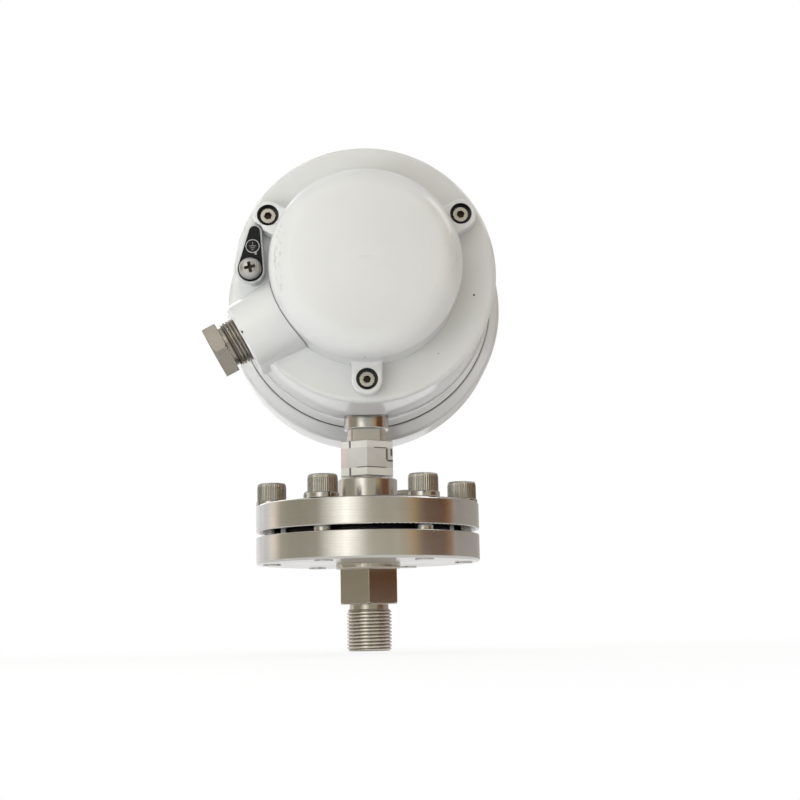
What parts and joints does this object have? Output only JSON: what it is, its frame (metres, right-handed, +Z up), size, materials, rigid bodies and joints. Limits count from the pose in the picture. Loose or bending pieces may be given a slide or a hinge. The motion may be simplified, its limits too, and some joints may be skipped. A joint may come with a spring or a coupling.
{
  "type": "electric contact pressure gauge",
  "caption": "Round pressure gauge with electric limit contacts, rear terminal cover and cable entry, on a bolted diaphragm seal with a male process thread.",
  "frame": {"origin": "centre of the lower end of the process thread", "axes": "+Z up along the stem, +Y towards the dial, so the terminal cover faces -Y"},
  "size_m": [0.1348, 0.1323, 0.2258],
  "materials": {
    "case_paint": "light grey semi-gloss paint on die-cast aluminium",
    "black_paint": "black printed plate",
    "stainless": "turned stainless steel",
    "bolt_steel": "plain steel",
    "nickel_brass": "nickel-plated",
    "brass": "bright machined",
    "bronze": "drawn tube and strip",
    "seal_rubber": "black seal",
    "block_plastic": "black moulding",
    "window_glass": "clear toughened glass",
    "dial_white": "white enamel",
    "pointer_black": "matt black",
    "hand_green": "green enamel",
    "hand_red": "red enamel",
    "label_paper": "white paper label"
  },
  "bodies": {
    "gauge": {"process_connector": "stainless", "lower_flange": "stainless", "upper_flange": "stainless", "diaphragm": "stainless", "seal_ring": "seal_rubber", "flange_bolts": "bolt_steel", "spring_washers": "bolt_steel", "coupling_nut": "stainless", "label_band": "label_paper", "stem": "stainless", "stem_screws": "bolt_steel", "case_body": "case_paint", "terminal_cover": "case_paint", "cover_gasket": "seal_rubber", "cover_screws": "bolt_steel", "earth_plate": "black_paint", "earth_screw": "bolt_steel", "cable_adapter": "nickel_brass", "terminal_block": "block_plastic", "terminal_clamps": "brass", "terminal_screws": "brass", "block_screws": "bolt_steel", "feedthrough_bushing": "block_plastic", "bezel_ring": "case_paint", "window_glass": "window_glass", "window_gasket": "seal_rubber", "dial_plate": "dial_white", "dial_screws": "bolt_steel", "bourdon_tube": "bronze", "movement_back_plate": "brass", "movement_front_plate": "brass", "movement_pillars": "brass", "plate_screws": "bolt_steel", "movement_screws": "bolt_steel", "hairspring": "bronze", "contact_bridge": "block_plastic", "bridge_screws": "bolt_steel", "hand_clip": "bolt_steel", "setting_bush": "nickel_brass", "setting_nut": "nickel_brass", "setting_spring": "bolt_steel"},
    "pointer": {"pinion_arbor": "bolt_steel", "pointer": "pointer_black"},
    "sector": {"sector_gear": "brass"},
    "link": {"link_rod": "bolt_steel"},
    "tip": {"tube_tip": "brass"},
    "low_hand": {"low_limit_hand": "hand_green"},
    "high_hand": {"high_limit_hand": "hand_red"},
    "plunger": {"setting_plunger": "nickel_brass"},
    "spindle": {"setting_spindle": "bolt_steel"}
  },
  "joints": [
    {"name": "tip_travel", "type": "slide", "parent": "gauge", "child": "tip", "axis": [-0.6574, 0, 0.7536], "range_m": [0, 0.00402], "stiffness_N_per_m": 800, "springref_m": -0.0002, "deforming": ["bourdon_tube"]},
    {"name": "link_turn", "type": "hinge", "parent": "sector", "child": "link", "pos_m": [-0.00334, 0.012, 0.12992], "axis": [0, 1, 0], "range_deg": [-38, 0]},
    {"name": "sector_turn", "type": "hinge", "parent": "gauge", "child": "sector", "pos_m": [0, 0.012, 0.1355], "axis": [0, 1, 0], "range_deg": [0, 38]},
    {"name": "pointer_turn", "type": "hinge", "parent": "gauge", "child": "pointer", "pos_m": [0, 0.012, 0.161], "axis": [0, -1, 0], "range_deg": [0, 285], "deforming": ["hairspring"]},
    {"name": "low_limit_set", "type": "hinge", "parent": "gauge", "child": "low_hand", "pos_m": [0, 0.029, 0.161], "axis": [0, -1, 0], "range_deg": [-67.5, 202.5]},
    {"name": "high_limit_set", "type": "hinge", "parent": "gauge", "child": "high_hand", "pos_m": [0, 0.031, 0.161], "axis": [0, -1, 0], "range_deg": [-202.5, 67.5]},
    {"name": "setting_press", "type": "slide", "parent": "gauge", "child": "plunger", "axis": [0, -1, 0], "range_m": [0, 0.0014], "stiffness_N_per_m": 500, "springref_m": -0.002, "deforming": ["setting_spring"]},
    {"name": "setting_turn", "type": "hinge", "parent": "plunger", "child": "spindle", "pos_m": [0, 0.05, 0.161], "axis": [0, 1, 0], "continuous": true}
  ],
  "couplings": [
    {"joint": "link_turn", "follows": "tip_travel", "rad_per_m": -156.41},
    {"joint": "sector_turn", "follows": "tip_travel", "rad_per_m": 156.41},
    {"joint": "pointer_turn", "follows": "tip_travel", "rad_per_m": 1173}
  ]
}
